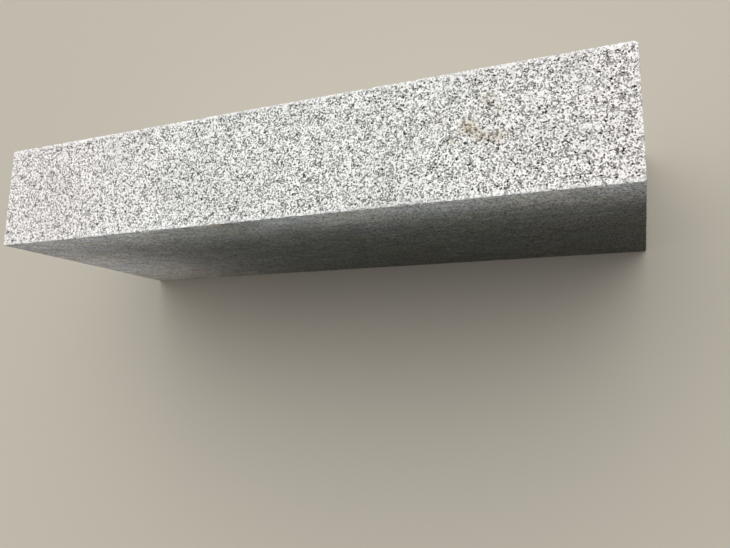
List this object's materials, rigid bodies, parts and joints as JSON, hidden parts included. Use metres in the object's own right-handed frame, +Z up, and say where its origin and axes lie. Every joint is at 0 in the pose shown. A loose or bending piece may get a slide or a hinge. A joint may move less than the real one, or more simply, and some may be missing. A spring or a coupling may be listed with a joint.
{
  "type": "granite kerb stone",
  "caption": "Straight sawn granite kerb stone of rectangular section, with a rough-dressed top, standing on its bed to edge a road or pavement.",
  "frame": {"origin": "middle of the bed, the bottom face that the stone stands on", "axes": "+X along the kerb, +Y across it to the back face, +Z up to the dressed top"},
  "size_m": [0.9, 0.15, 0.35],
  "materials": {
    "granite": "light grey granite speckled with black mica and grey quartz, rough-dressed on top and sawn on the other faces"
  },
  "bodies": {
    "root": {"kerb_stone": "granite"}
  },
  "joints": []
}
